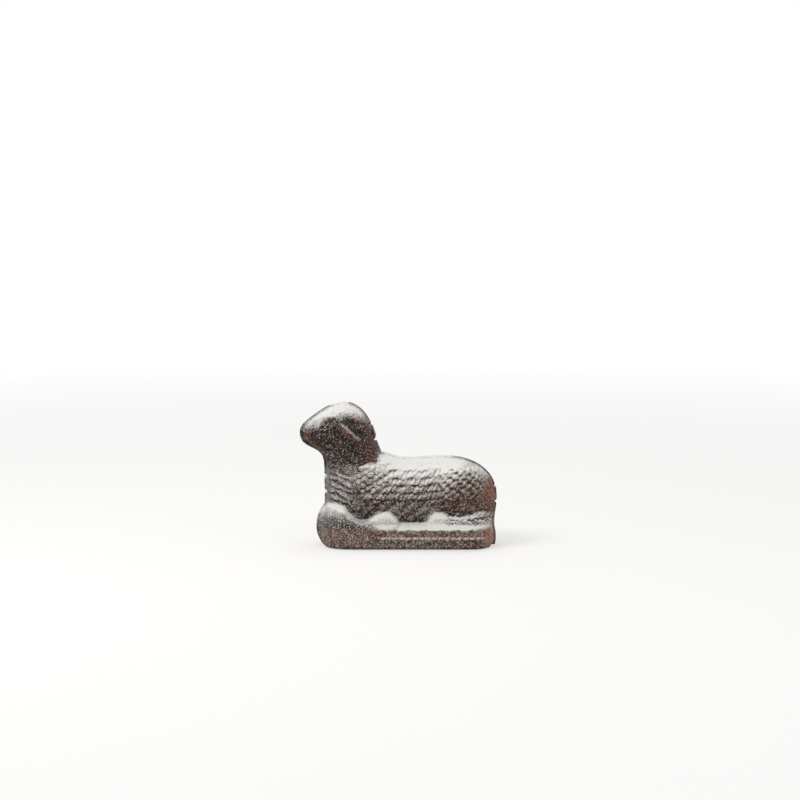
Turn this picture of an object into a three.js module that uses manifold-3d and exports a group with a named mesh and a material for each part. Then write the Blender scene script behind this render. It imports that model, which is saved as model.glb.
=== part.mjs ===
// Lamb cake mould: two cast-iron halves that part on the lamb's centre plane.
// Millimetres, +Z up, +X from the nose to the rump; the near half is on the -Y side.
// Each half is an open shell whose outside and cavity both carry the lamb.
import * as THREE from 'three';
import { mergeVertices } from 'three/addons/utils/BufferGeometryUtils.js';
import Module from 'manifold-3d';

// Overall size of the lamb, over the rim
const lambLength = 218.3;
const lambHeight = 158.4;
const lambWidth = 92;

// Castings
const wall = 4;
const rimProud = 2.2;
const rimThickness = 5;
const partingGap = 0.3;
const cutOverrun = 5;

// Rounding of the forms, along the length
const chestRound = 45;
const rumpRound = 40;
const kneeRound = 34;
const heelRound = 24;
const elbowRound = 12;
const stifleRound = 13;
const crownFlat = 0.5;
const skinMargin = 0.3;
const legMargin = 1.5;

// Fleece and ears
const tuftRise = 1.4;
const earWidth = 14;
const earThickness = 9;
const earSpacing = 48;

// Latches: a wire bail in two blind holes of a cast lug, closed over the near rim
const wireDiameter = 2;
const wireClearance = 0.3;
const bailWidth = 17;
const bailBendRadius = 2;
const lugSideGap = 0.5;
const lugWall = 1.3;
const lugRoot = 5;
const lugHoleDepth = 4;
const pivotSetback = 7;
const pivotSink = 2;
const hookBite = 1.9;
const notchSide = 0.5;
const bailFoldDegrees = 14;

// Locating dowels, pressed into the far rim
const dowelDiameter = 3;
const dowelLength = 8;
const dowelChamfer = 0.5;
const dowelFit = 0.2;
const socketFit = 0.4;

// Feet that hold the far half level while it is filled
const footDiameter = 10;
const footTaper = 1.5;
const footStand = 7;

// The photographed side view, as shares of the length and the height
const kneeShares = [[-0.426, 0.004], [-0.451, 0.067], [-0.458, 0.124], [-0.452, 0.199], [-0.432, 0.257],
  [-0.415, 0.29]];
const headShares = [[-0.415, 0.29], [-0.416, 0.439], [-0.42, 0.596], [-0.433, 0.644], [-0.476, 0.681],
  [-0.523, 0.719], [-0.542, 0.784], [-0.533, 0.833], [-0.48, 0.899], [-0.394, 0.975], [-0.329, 1],
  [-0.273, 0.991], [-0.219, 0.939], [-0.178, 0.849], [-0.153, 0.739], [-0.128, 0.649]];
const backShares = [[-0.128, 0.649], [-0.094, 0.64], [-0.023, 0.615], [0.092, 0.619], [0.206, 0.625],
  [0.309, 0.599], [0.377, 0.554], [0.431, 0.478], [0.454, 0.394], [0.458, 0.344], [0.453, 0.256],
  [0.441, 0.161]];
const heelShares = [[0.441, 0.161], [0.452, 0.096], [0.454, 0.045], [0.45, 0.004]];
const toeCornerShare = -0.41;
const heelCornerShare = 0.447;

// Tables across the form: [share of the length or the height, share of the half width or height]
const bodyHalfShares = [[-0.34, 0.82], [-0.2, 0.87], [-0.05, 0.9], [0.09, 0.87], [0.15, 0.8],
  [0.3, 0.88], [0.46, 0.89]];
const neckHalfShares = [[0.12, 0.74], [0.348, 0.8], [0.452, 0.79], [0.534, 0.73], [0.607, 0.63],
  [0.669, 0.555], [0.752, 0.54], [0.845, 0.515], [0.907, 0.43], [0.953, 0.31], [0.984, 0.17], [1, 0.1]];
const muzzleTaperShares = [[0.172, 0], [0.607, 0], [0.71, 0.16], [0.793, 0.24], [0.897, 0.2], [1, 0]];
const foreLegTopShares = [[-0.458, 0.172], [-0.433, 0.255], [-0.4, 0.302], [-0.373, 0.313],
  [-0.34, 0.313], [-0.31, 0.299], [-0.288, 0.258], [-0.263, 0.221], [-0.227, 0.199], [-0.196, 0.203],
  [-0.158, 0.25], [-0.126, 0.283], [-0.1, 0.29], [-0.076, 0.27], [-0.05, 0.222], [-0.025, 0.176],
  [0, 0.12]];
const hindLegTopShares = [[0.07, 0.125], [0.09, 0.168], [0.112, 0.21], [0.13, 0.245], [0.15, 0.27],
  [0.165, 0.276], [0.185, 0.264], [0.2, 0.238], [0.22, 0.232], [0.29, 0.232], [0.325, 0.248], [0.36, 0.269],
  [0.405, 0.271], [0.43, 0.253], [0.45, 0.224]];

// Where the forms lie and how wide they are, as shares of the length, the height and the half width
const bodyShares = { start: -0.37, endLevel: 0.348, middle: 0.369, bottom: 0.09 };
const plinthShares = { endLevel: 0.07, top: 0.184, middle: 0.058 };
const foreLegShares = { end: 0, half: 0.975, middle: 0.1, bottom: 0.09 };
const hindLegShares = { start: 0.07, half: 0.89, middle: 0.152, bottom: 0.11 };
const neckShares = { start: 0.12, nape: 0.643, napeStart: -0.12, napeFall: 0.55, back: -0.128, lean: 0.12 };
const haunchShares = { x: 0.255, y: 0.45, z: 0.4, length: 0.15, depth: 0.49, height: 0.192 };
const shoulderShares = { x: -0.2, y: 0.45, z: 0.431, length: 0.12, depth: 0.43, height: 0.165 };
const earShares = { rootX: -0.315, rootZ: 0.881, tipX: -0.236, tipZ: 0.705, narrowing: 0.35 };
const endShares = { crowding: 0.55, blunt: 0.14 };
const neckCrowdingShare = 0.4;

// Heights of the latches, and places of the dowels counted round the outline from the toe
const latchShares = { chest: 0.431, neck: 0.793, rump: 0.358 };
const dowelShares = { dowel_crown: 0.4, dowel_back: 0.693, dowel_heel: 0.92, dowel_toe: 0.04 };
const footShares = [[-0.3, 0.1], [0.36, 0.089], [-0.2, 0.483], [0.33, 0.462]];
const footRootShare = 0.72;

// How many pieces the curves have
const outlinePieces = { knee: 8, head: 34, back: 26, heel: 4 };
const outsidePieces = {
  body: [34, 44], plinth: [18, 26], foreLeg: [20, 20], hindLeg: [16, 20], neck: [24, 30],
  haunch: [12, 24], shoulder: [10, 20],
};
const cavityPieces = {
  body: [18, 26], plinth: [12, 20], foreLeg: [14, 14], hindLeg: [10, 14], neck: [12, 20],
  haunch: [8, 12], shoulder: [6, 12],
};

const lambHalf = lambWidth / 2;
const lugWidth = bailWidth - wireDiameter - 2 * lugSideGap;
const fullTurn = 2 * Math.PI;

const wasm = await Module();
wasm.setup();

// A closed three.js geometry as a solid that can be joined and cut
function solid(geometry) {
  const bare = geometry.clone();
  bare.deleteAttribute('normal');
  bare.deleteAttribute('uv');
  const merged = mergeVertices(bare);
  const mesh = new wasm.Mesh({
    numProp: 3,
    vertProperties: new Float32Array(merged.attributes.position.array),
    triVerts: new Uint32Array(merged.index.array),
  });
  return new wasm.Manifold(mesh);
}

// A solid's triangles as a three.js geometry
function geometryOf(form) {
  const mesh = form.getMesh();
  const geometry = new THREE.BufferGeometry();
  geometry.setAttribute('position', new THREE.BufferAttribute(mesh.vertProperties, 3));
  geometry.setIndex(new THREE.BufferAttribute(mesh.triVerts, 1));
  return geometry;
}

function joined(forms) {
  return forms.reduce((whole, form) => whole.add(form));
}

// The main body of a form, without pockets sealed inside it
function unsealed(form) {
  const skins = form.decompose();
  return skins.reduce((main, skin) => (skin.volume() > main.volume() ? skin : main));
}

// The value of a table of [place, value] pairs at a place, straight between its rows
function tableAt(table, place) {
  const last = table.length - 1;
  if (place <= table[0][0]) return table[0][1];
  if (place >= table[last][0]) return table[last][1];
  const next = table.findIndex((row) => row[0] > place);
  const [before, after] = [table[next - 1], table[next]];
  return THREE.MathUtils.mapLinear(place, before[0], after[0], before[1], after[1]);
}

// Smooth curve through points given as shares of the length and the height
function curvePoints(shares, pieces) {
  const points = shares.map(([x, z]) => new THREE.Vector3(x * lambLength, 0, z * lambHeight));
  return new THREE.CatmullRomCurve3(points, false, 'centripetal').getSpacedPoints(pieces);
}

// The rim's outer edge, clockwise from the toe; its foot lies a rim's height below the floor
function rimOutline() {
  const corner = (share) => new THREE.Vector3(share * lambLength, 0, -rimProud);
  const parts = [
    [corner(toeCornerShare)],
    curvePoints(kneeShares, outlinePieces.knee).slice(0, -1),
    curvePoints(headShares, outlinePieces.head).slice(0, -1),
    curvePoints(backShares, outlinePieces.back).slice(0, -1),
    curvePoints(heelShares, outlinePieces.heel),
    [corner(heelCornerShare)],
  ];
  return parts.flat();
}

// The same loop of points moved inwards
function insetOutline(points, distance) {
  const count = points.length;
  return points.map((point, i) => {
    const before = point.clone().sub(points[(i + count - 1) % count]).normalize();
    const after = points[(i + 1) % count].clone().sub(point).normalize();
    const inward = new THREE.Vector3(before.z + after.z, 0, -before.x - after.x);
    const mitre = Math.max(1 + before.dot(after), 0.5);
    return point.clone().addScaledVector(inward, distance / mitre);
  });
}

// Where a loop of points crosses a line of constant x or z, in rising order
function crossings(points, along, across, value) {
  const found = [];
  points.forEach((a, i) => {
    const b = points[(i + 1) % points.length];
    if (a[along] >= value !== b[along] >= value) {
      found.push(THREE.MathUtils.mapLinear(value, a[along], b[along], a[across], b[across]));
    }
  });
  return found.sort((p, q) => p - q);
}

// A closed skin over rings of equally many points, with a fan over each end
function loft(rings) {
  const count = rings[0].length;
  const middles = [rings[0], rings[rings.length - 1]].map((ring) => {
    const sum = ring.reduce((total, point) => total.add(point), new THREE.Vector3());
    return sum.divideScalar(count);
  });
  const positions = [...rings.flat(), ...middles].flatMap((point) => point.toArray());
  const startMiddle = rings.length * count;
  const index = [];
  rings.forEach((ring, i) => ring.forEach((_, j) => {
    const [a, b] = [i * count + j, i * count + (j + 1) % count];
    if (i + 1 < rings.length) index.push(a, b, b + count, a, b + count, a + count);
    if (i === 0) index.push(startMiddle, b, a);
    if (i + 1 === rings.length) index.push(startMiddle + 1, a, b);
  }));
  const geometry = new THREE.BufferGeometry();
  geometry.setAttribute('position', new THREE.Float32BufferAttribute(positions, 3));
  geometry.setIndex(index);
  const skin = solid(geometry);
  if (skin.volume() > 0) return skin;
  geometry.setIndex(index.reverse());
  return solid(geometry);
}

// Sine or cosine of a superellipse: 2 is round, more is squarer
function fuller(value, fullness) {
  return Math.sign(value) * Math.abs(value) ** (2 / fullness);
}

// Shares from 0 to 1 that lie closer together near both ends
function crowded(share, crowding) {
  return share - crowding * Math.sin(fullTurn * share) / fullTurn;
}

// How far a form has opened at a distance from its rounded end
function endRound(distance, radius, blunt) {
  const left = 1 - THREE.MathUtils.clamp(distance / radius, 0, 1);
  return Math.max(Math.sqrt(1 - left * left), blunt);
}

// Loft of upright sections along the length. A form gives its ends, its half width, top,
// middle and bottom at x, and its fullness above and below the middle.
function lengthwise(form, inset, tufts) {
  const { start, end } = form;
  const [stations, points] = form.pieces;
  const rings = [];
  for (let i = 0; i <= stations; i += 1) {
    const x = THREE.MathUtils.lerp(start + inset, end - inset, crowded(i / stations, endShares.crowding));
    const opened = Math.min(
      endRound(x - start - inset, form.startRadius, endShares.blunt),
      endRound(end - inset - x, form.endRadius, endShares.blunt),
    );
    const half = (form.half(x) - inset) * opened;
    const top = form.top(x);
    const bottom = form.bottom(x);
    const middle = THREE.MathUtils.clamp(form.middle, bottom, top);
    rings.push(sectionRing({ x, half, top, middle, bottom, points, form, row: i, tufts }));
  }
  return loft(rings);
}

// One section; every second point of every second row stands proud as a tuft
function sectionRing({ x, half, top, middle, bottom, points, form, row, tufts }) {
  const ring = [];
  for (let j = 0; j < points; j += 1) {
    const angle = fullTurn * (j + 0.5) / points;
    const [side, up] = [Math.sin(angle), Math.cos(angle)];
    const fullness = up > 0 ? form.above : form.below;
    const reach = up > 0 ? top - middle : middle - bottom;
    const rise = (row + j) % 2 === 0 ? tufts * Math.abs(side) : 0;
    const y = half * fuller(side, fullness) + rise * side;
    ring.push(new THREE.Vector3(x, y, middle + reach * fuller(up, fullness) + rise * up));
  }
  return ring;
}

// Loft of level sections from the brisket up the neck to the crown
function upright(edge, inset, pieces) {
  const rings = [];
  const [levels, points] = pieces;
  const nape = neckShares.nape * lambHeight;
  const start = neckShares.start * lambHeight + inset;
  const end = Math.max(...edge.map((point) => point.z)) - crownFlat;
  for (let i = 0; i <= levels; i += 1) {
    const z = THREE.MathUtils.lerp(start, end, crowded(i / levels, neckCrowdingShare));
    const across = crossings(edge, 'z', 'x', z);
    const lowBack = neckShares.back * lambLength + (nape - z) * neckShares.lean;
    const back = z > nape ? across[across.length - 1] : Math.min(across[across.length - 1], lowBack);
    const half = tableAt(neckHalfShares, (z + inset) / lambHeight) * lambHalf - inset;
    const taper = tableAt(muzzleTaperShares, z / lambHeight);
    rings.push(levelRing({ z, front: across[0], back, half: Math.max(half, crownFlat), taper, points }));
  }
  return loft(rings);
}

function levelRing({ z, front, back, half, taper, points }) {
  const fullness = 2.25;
  const ring = [];
  const middle = (front + back) / 2;
  for (let j = 0; j < points; j += 1) {
    const angle = fullTurn * (j + 0.5) / points;
    const [side, ahead] = [Math.sin(angle), Math.cos(angle)];
    const x = middle - (back - front) / 2 * fuller(ahead, fullness);
    const y = half * fuller(side, fullness) * (1 - taper * ahead);
    ring.push(new THREE.Vector3(x, y, z));
  }
  return ring;
}

// Rounded pad on both flanks, such as the haunch or the shoulder
function pads(shares, fullness, inset, tufts, pieces) {
  const [ringCount, points] = pieces;
  const length = shares.length * lambLength - inset;
  const depth = shares.depth * lambHalf - inset;
  const height = shares.height * lambHeight - inset;
  const rings = [];
  for (let i = 1; i < ringCount; i += 1) {
    const polar = Math.PI * i / ringCount;
    const open = fuller(Math.sin(polar), fullness);
    const ring = [];
    for (let j = 0; j < points; j += 1) {
      const angle = fullTurn * (j + (i % 2) / 2) / points;
      const rise = j % 2 === 0 && i > 2 ? tufts : 0;
      ring.push(new THREE.Vector3(
        shares.x * lambLength + length * open * Math.cos(angle),
        -shares.y * lambHalf - (depth + rise) * fuller(Math.cos(polar), fullness),
        shares.z * lambHeight + height * open * Math.sin(angle),
      ));
    }
    rings.push(ring);
  }
  const nearPad = loft(rings);
  return nearPad.add(nearPad.mirror([0, 1, 0]));
}

// Hanging ears, each a leaf from its root on the skull to its lower tip
function ears(inset) {
  const root = new THREE.Vector3(earShares.rootX * lambLength, 0, earShares.rootZ * lambHeight);
  const tip = new THREE.Vector3(earShares.tipX * lambLength, 0, earShares.tipZ * lambHeight);
  const reach = root.distanceTo(tip) / 2;
  const leaf = new THREE.SphereGeometry(1, 14, 8);
  const place = leaf.attributes.position;
  for (let i = 0; i < place.count; i += 1) {
    const narrowing = 1 - earShares.narrowing * place.getX(i);
    place.setXYZ(
      i,
      place.getX(i) * (reach - inset),
      place.getY(i) * (earThickness / 2 - inset),
      place.getZ(i) * narrowing * (earWidth / 2 - inset),
    );
  }
  leaf.rotateY(Math.atan2(root.z - tip.z, tip.x - root.x));
  const middle = root.add(tip).divideScalar(2);
  leaf.translate(middle.x, -earSpacing / 2, middle.z);
  const nearEar = solid(leaf);
  return nearEar.add(nearEar.mirror([0, 1, 0]));
}

// The lamb as one solid within an edge loop, inset from its outside by a wall or by nothing
function lamb(edge, inset, tufts, pieces) {
  const lengthAt = (share) => share * lambLength;
  const heightAt = (share) => share * lambHeight;
  const lowEnds = crossings(edge, 'z', 'x', heightAt(plinthShares.endLevel));
  const highEnds = crossings(edge, 'z', 'x', heightAt(bodyShares.endLevel));
  const levels = (x) => crossings(edge, 'x', 'z', x);
  const nape = heightAt(neckShares.nape);
  const napeFall = (x) => Math.max(lengthAt(neckShares.napeStart) - x, 0) * neckShares.napeFall;
  const body = {
    start: lengthAt(bodyShares.start),
    end: highEnds[highEnds.length - 1] - skinMargin + inset,
    pieces: pieces.body,
    startRadius: chestRound,
    endRadius: rumpRound,
    half: (x) => tableAt(bodyHalfShares, x / lambLength) * lambHalf,
    top: (x) => Math.min(levels(x).pop(), nape - inset - napeFall(x)),
    middle: heightAt(bodyShares.middle),
    bottom: (x) => (levels(x).length > 2 && x > 0 ? levels(x).at(-2) : heightAt(bodyShares.bottom)),
    above: 2.2,
    below: 2.3,
  };
  const plinth = {
    start: lowEnds[0] + skinMargin - inset,
    end: lowEnds[lowEnds.length - 1] - skinMargin + inset,
    pieces: pieces.plinth,
    startRadius: kneeRound,
    endRadius: heelRound,
    half: () => lambHalf,
    top: (x) => Math.min(levels(x)[1], heightAt(plinthShares.top) - inset),
    middle: heightAt(plinthShares.middle),
    bottom: (x) => levels(x)[0],
    above: 5,
    below: 9,
  };
  const foreLeg = {
    start: lowEnds[0] + legMargin - inset,
    end: lengthAt(foreLegShares.end),
    pieces: pieces.foreLeg,
    startRadius: kneeRound,
    endRadius: elbowRound,
    half: () => lambHalf * foreLegShares.half,
    top: (x) => Math.min(levels(x)[1], heightAt(tableAt(foreLegTopShares, x / lambLength)) - inset),
    middle: heightAt(foreLegShares.middle),
    bottom: () => heightAt(foreLegShares.bottom),
    above: 6,
    below: 4,
  };
  const hindLeg = {
    start: lengthAt(hindLegShares.start),
    end: lowEnds[lowEnds.length - 1] - legMargin + inset,
    pieces: pieces.hindLeg,
    startRadius: stifleRound,
    endRadius: heelRound,
    half: () => lambHalf * hindLegShares.half,
    top: (x) => heightAt(tableAt(hindLegTopShares, x / lambLength)) - inset,
    middle: heightAt(hindLegShares.middle),
    bottom: () => heightAt(hindLegShares.bottom),
    above: 6,
    below: 4,
  };
  return joined([
    lengthwise(body, inset, tufts),
    lengthwise(plinth, inset, 0),
    lengthwise(foreLeg, inset, 0),
    lengthwise(hindLeg, inset, 0),
    upright(edge, inset, pieces.neck),
    pads(haunchShares, 2.2, inset, tufts, pieces.haunch),
    pads(shoulderShares, 2.1, inset, tufts, pieces.shoulder),
    ears(inset),
  ]);
}

// A plate within an edge loop, centred on the parting plane
function plate(edge, thickness) {
  const shape = new THREE.Shape(edge.map((point) => new THREE.Vector2(point.x, point.z)));
  const geometry = new THREE.ExtrudeGeometry(shape, { depth: thickness, bevelEnabled: false });
  geometry.rotateX(Math.PI / 2);
  geometry.translate(0, thickness / 2, 0);
  return solid(geometry);
}

function block(lengthX, lengthY, lengthZ, x, y, z) {
  const geometry = new THREE.BoxGeometry(lengthX, lengthY, lengthZ);
  geometry.translate(x, y, z);
  return solid(geometry);
}

// A round bar along Y from one y to another
function bar(radius, from, to, x, z, endRadius = radius) {
  const geometry = new THREE.CylinderGeometry(endRadius, radius, to - from, 16);
  geometry.translate(0, (from + to) / 2, 0);
  geometry.translate(x, 0, z);
  return solid(geometry);
}

const outline = rimOutline();
const rootOutline = insetOutline(outline, rimProud);
const cavityOutline = insetOutline(rootOutline, wall);

// The place and outward turn of the rim's edge at a height on its front or its back
function rimStation(heightShare, atBack) {
  const z = heightShare * lambHeight;
  const edgeAt = (level) => crossings(outline, 'z', 'x', level).at(atBack ? -1 : 0);
  const slope = (edgeAt(z + bailWidth / 2) - edgeAt(z - bailWidth / 2)) / bailWidth;
  const turn = atBack ? Math.atan2(1, -slope) : Math.atan2(-1, slope);
  return { x: edgeAt(z), z, turn };
}

const latches = {
  bail_chest: rimStation(latchShares.chest, false),
  bail_neck: rimStation(latchShares.neck, true),
  bail_rump: rimStation(latchShares.rump, true),
};
const wireRadius = wireDiameter / 2;
const pivotY = rimThickness + pivotSetback;
const hookY = -(rimThickness + wireClearance + wireRadius);
const hookSink = hookBite - wireRadius;
const bailReach = Math.hypot(pivotY - hookY, pivotSink - hookSink);

// A form made at the origin, with Z outwards from the rim, moved to a latch
function atLatch(geometry, station) {
  geometry.rotateY(station.turn);
  geometry.translate(station.x, 0, station.z);
  return solid(geometry);
}

// The cast lug that carries a bail, seen along the pivot: y backwards, z outwards
function lugs(station) {
  const radius = wireRadius + wireClearance + lugWall;
  const shape = new THREE.Shape();
  shape.moveTo(rimThickness / 2, -rimProud);
  shape.lineTo(pivotY, radius - pivotSink);
  shape.absarc(pivotY, -pivotSink, radius, Math.PI / 2, 0, true);
  shape.lineTo(pivotY + radius, -pivotSink - lugRoot);
  shape.lineTo(rimThickness / 2, -lugRoot);
  const geometry = new THREE.ExtrudeGeometry(shape, { depth: lugWidth, bevelEnabled: false, curveSegments: 6 });
  geometry.translate(0, 0, -lugWidth / 2);
  geometry.rotateY(Math.PI / 2);
  geometry.rotateX(Math.PI / 2);
  return atLatch(geometry, station);
}

function lugHoles(station) {
  return joined([-1, 1].map((side) => {
    const geometry = new THREE.CylinderGeometry(
      wireRadius + wireClearance,
      wireRadius + wireClearance,
      lugHoleDepth + cutOverrun,
      12,
    );
    geometry.rotateZ(Math.PI / 2);
    geometry.translate(side * (lugWidth + cutOverrun - lugHoleDepth) / 2, pivotY, -pivotSink);
    return atLatch(geometry, station);
  }));
}

// Notches that let the bail's arms through both rims
function notches(station) {
  const depth = pivotSink + wireRadius + wireClearance;
  return joined([-1, 1].map((side) => {
    const geometry = new THREE.BoxGeometry(
      wireDiameter + 2 * notchSide,
      rimThickness + cutOverrun + pivotY - wireRadius,
      depth + cutOverrun,
    );
    geometry.translate(
      side * bailWidth / 2,
      (pivotY - wireRadius - rimThickness - cutOverrun) / 2,
      (cutOverrun - depth) / 2,
    );
    return atLatch(geometry, station);
  }));
}

// Dowels sit in the middle of the rim and wall, at four places round the outline
const dowelOutline = insetOutline(outline, (rimProud + wall) / 2);
const dowels = Object.fromEntries(Object.entries(dowelShares).map(([name, share]) => (
  [name, dowelOutline[Math.round(share * dowelOutline.length) % dowelOutline.length]]
)));
const dowelDepth = dowelLength / 2;

function sockets(side, fit) {
  const depth = (dowelDepth + dowelFit) * side;
  const [from, to] = [Math.min(depth, -side), Math.max(depth, -side)];
  return joined(Object.values(dowels).map((at) => bar(dowelDiameter / 2 + fit, from, to, at.x, at.z)));
}

// Four feet on the far flank end in one plane
function feet(cavity) {
  const stubs = footShares.map(([x, z]) => bar(
    footDiameter / 2 + footTaper,
    lambHalf * footRootShare,
    lambHalf + footStand,
    x * lambLength,
    z * lambHeight,
    footDiameter / 2,
  ));
  return joined(stubs).subtract(cavity);
}

function castings() {
  const skin = lamb(rootOutline, 0, tuftRise, outsidePieces);
  const outside = unsealed(skin.add(plate(outline, 2 * rimThickness)));
  const cavity = lamb(cavityOutline, wall, 0, cavityPieces);
  const reach = 2 * lambLength;
  const aboveFloor = (side) => block(reach, reach, reach, 0, side * (reach + partingGap) / 2, reach / 2);
  const notched = joined(Object.values(latches).map(notches));
  const nearSide = outside.subtract(cavity).intersect(aboveFloor(-1));
  const farSide = outside.subtract(cavity).intersect(aboveFloor(1));
  const farLugs = joined(Object.values(latches).map(lugs)).subtract(cavity);
  const farHoles = joined(Object.values(latches).map(lugHoles));
  return {
    near_half: unsealed(nearSide.subtract(notched).subtract(sockets(-1, socketFit))),
    far_half: unsealed(farSide.subtract(notched).add(farLugs).subtract(farHoles).add(feet(cavity))
      .subtract(sockets(1, dowelFit))),
  };
}

// Bail wire, its pivot ends turned in, its arms along +Y
function bailGeometry() {
  const tip = lugWidth / 2 - lugHoleDepth + 2 * wireClearance;
  const side = bailWidth / 2;
  const path = new THREE.CurvePath();
  const corners = [[tip, 0], [side, 0], [side, bailReach], [-side, bailReach], [-side, 0], [-tip, 0]]
    .map(([x, y]) => new THREE.Vector3(x, y, 0));
  let from = corners[0];
  for (let i = 1; i + 1 < corners.length; i += 1) {
    const towards = (other) => other.clone().sub(corners[i]).setLength(bailBendRadius).add(corners[i]);
    const [enter, leave] = [towards(corners[i - 1]), towards(corners[i + 1])];
    path.add(new THREE.LineCurve3(from, enter));
    path.add(new THREE.QuadraticBezierCurve3(enter, corners[i], leave));
    from = leave;
  }
  path.add(new THREE.LineCurve3(from, corners[corners.length - 1]));
  const circle = new THREE.Shape().absarc(0, 0, wireRadius, 0, fullTurn);
  return new THREE.ExtrudeGeometry(circle, { steps: 32, curveSegments: 4, extrudePath: path });
}

// Dowel with a chamfer at each end, along Y
function dowelGeometry() {
  const radius = dowelDiameter / 2;
  const profile = [
    new THREE.Vector2(0, -dowelDepth),
    new THREE.Vector2(radius - dowelChamfer, -dowelDepth),
    new THREE.Vector2(radius, dowelChamfer - dowelDepth),
    new THREE.Vector2(radius, dowelDepth - dowelChamfer),
    new THREE.Vector2(radius - dowelChamfer, dowelDepth),
    new THREE.Vector2(0, dowelDepth),
  ];
  return new THREE.LatheGeometry(profile, 14);
}

const castIron = new THREE.MeshStandardMaterial({ color: 0x5a4038, roughness: 0.78, metalness: 0.35 });
const steelWire = new THREE.MeshStandardMaterial({ color: 0x8b8781, roughness: 0.38, metalness: 0.95 });
const dowelSteel = new THREE.MeshStandardMaterial({ color: 0x77726c, roughness: 0.3, metalness: 0.95 });

function named(name, geometry, material) {
  const mesh = new THREE.Mesh(geometry, material);
  mesh.name = name;
  return mesh;
}

const group = new THREE.Group();
Object.entries(castings()).forEach(([name, form]) => group.add(named(name, geometryOf(form), castIron)));

Object.entries(latches).forEach(([name, station]) => {
  const bail = named(name, bailGeometry(), steelWire);
  bail.position.set(0, pivotY, -pivotSink);
  bail.rotation.x = -THREE.MathUtils.degToRad(bailFoldDegrees);
  const seat = new THREE.Group();
  seat.position.set(station.x, 0, station.z);
  seat.rotation.y = station.turn;
  seat.add(bail);
  group.add(seat);
});

Object.entries(dowels).forEach(([name, at]) => {
  const dowel = named(name, dowelGeometry(), dowelSteel);
  dowel.position.copy(at);
  group.add(dowel);
});

// The origin is the middle of the underside of the whole mould
const extent = new THREE.Box3().setFromObject(group);
const middle = extent.getCenter(new THREE.Vector3());
group.position.set(-middle.x, -middle.y, -extent.min.z);

export default group;
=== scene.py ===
"""Lamb cake mould: two cast-iron halves, wire bails and locating dowels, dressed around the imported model.

Metres throughout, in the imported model's own frame: +X from the nose to the rump, +Y to the far half, +Z up.
Places on the side view are in millimetres, along and up from the middle of the base's underside.
"""
import math

import bpy
import numpy as np
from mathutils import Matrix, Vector


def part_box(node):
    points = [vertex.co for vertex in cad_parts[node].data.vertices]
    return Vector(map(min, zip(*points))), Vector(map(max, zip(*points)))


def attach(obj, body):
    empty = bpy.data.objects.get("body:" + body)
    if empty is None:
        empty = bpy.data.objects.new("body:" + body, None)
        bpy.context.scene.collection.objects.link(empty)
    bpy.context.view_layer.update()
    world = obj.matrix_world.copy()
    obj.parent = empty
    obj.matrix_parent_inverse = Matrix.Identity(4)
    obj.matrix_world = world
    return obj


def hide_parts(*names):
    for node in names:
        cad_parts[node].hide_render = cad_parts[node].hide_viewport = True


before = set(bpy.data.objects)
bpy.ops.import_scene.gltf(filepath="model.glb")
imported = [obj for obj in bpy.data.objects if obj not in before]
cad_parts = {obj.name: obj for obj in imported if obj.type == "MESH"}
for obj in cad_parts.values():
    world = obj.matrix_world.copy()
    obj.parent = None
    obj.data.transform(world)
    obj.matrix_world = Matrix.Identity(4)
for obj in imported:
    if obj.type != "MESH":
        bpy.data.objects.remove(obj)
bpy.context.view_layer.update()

bl_info = {
    "name": "Lamb cake mould",
    "version": (1, 0, 0),
    "blender": (4, 5, 0),
    "location": "View3D > Sidebar > Lamb mould",
    "description": "Cast halves, wire bails and dowels of a two-part lamb cake mould, with their finishes",
    "category": "Object",
}

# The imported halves

MM = 0.001
BAILS = ("chest", "neck", "rump")
DOWELS = ("crown", "back", "heel", "toe")
FAR_LOW, FAR_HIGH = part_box("far_half")
NEAR_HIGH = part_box("near_half")[1]
PARTING_Y = (FAR_LOW.y + NEAR_HIGH.y) / 2
HEIGHT = FAR_HIGH.z
# The nose reaches past the base, so the base's middle lies behind the mould's
BASE_SHARE = 0.5393
BASE_X = FAR_LOW.x + BASE_SHARE * (FAR_HIGH.x - FAR_LOW.x)

# The photograph's camera

CAMERA_TILT = math.radians(6)
CAMERA_ASIDE = -7.3 * MM
CAMERA_AWAY = 2440 * MM
CAMERA_UP = 417 * MM
CAMERA_LENS = 100
CAMERA_SENSOR = 36
CAMERA_SIGHT = 50

# Places on the side view

# Middle lines of the base, the shoulder, the body, the neck and the head
SKELETON = (
    ((-80, 15), (80, 15)),
    ((-50, 20), (-50, 95)),
    ((-50, 57), (68, 57)),
    ((-50, 95), (-66, 135)),
    ((-66, 135), (-98, 127)),
)
# Filling feet of the far half
FEET = ((-65.5, 15.8), (78.6, 14.1), (-43.7, 76.5), (72, 73.2))
FOOT_RADIUS = 9
# Ovals, each with its centre and its half length and half height
BRIDGE = ((-96, 134), (14, 7))
EYE = ((-85, 134.5), (7, 4.5))
CHEST_TOP = ((-66, 90), (30, 13))
SHOULDER = ((-39, 77), (20, 22))
HAUNCH = ((66, 66), (29, 30))
RUMP_TOP = ((74, 84), (18, 12))
RUMP_SIDE = ((72, 58), (30, 22))
HOCK_HOLLOW = ((70, 48.5), (32, 11))
BELLY = ((2, 38.5), (30, 10))
KNEE = ((-82, 38), (18, 8))
KNEE_HOLLOW = ((-51, 27), (15, 9))
LEG_HOLLOW = ((-52, 34), (14, 6))
ELBOW = ((-24, 27), (17, 10))
STIFLE = ((33, 27), (15, 11))
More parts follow.
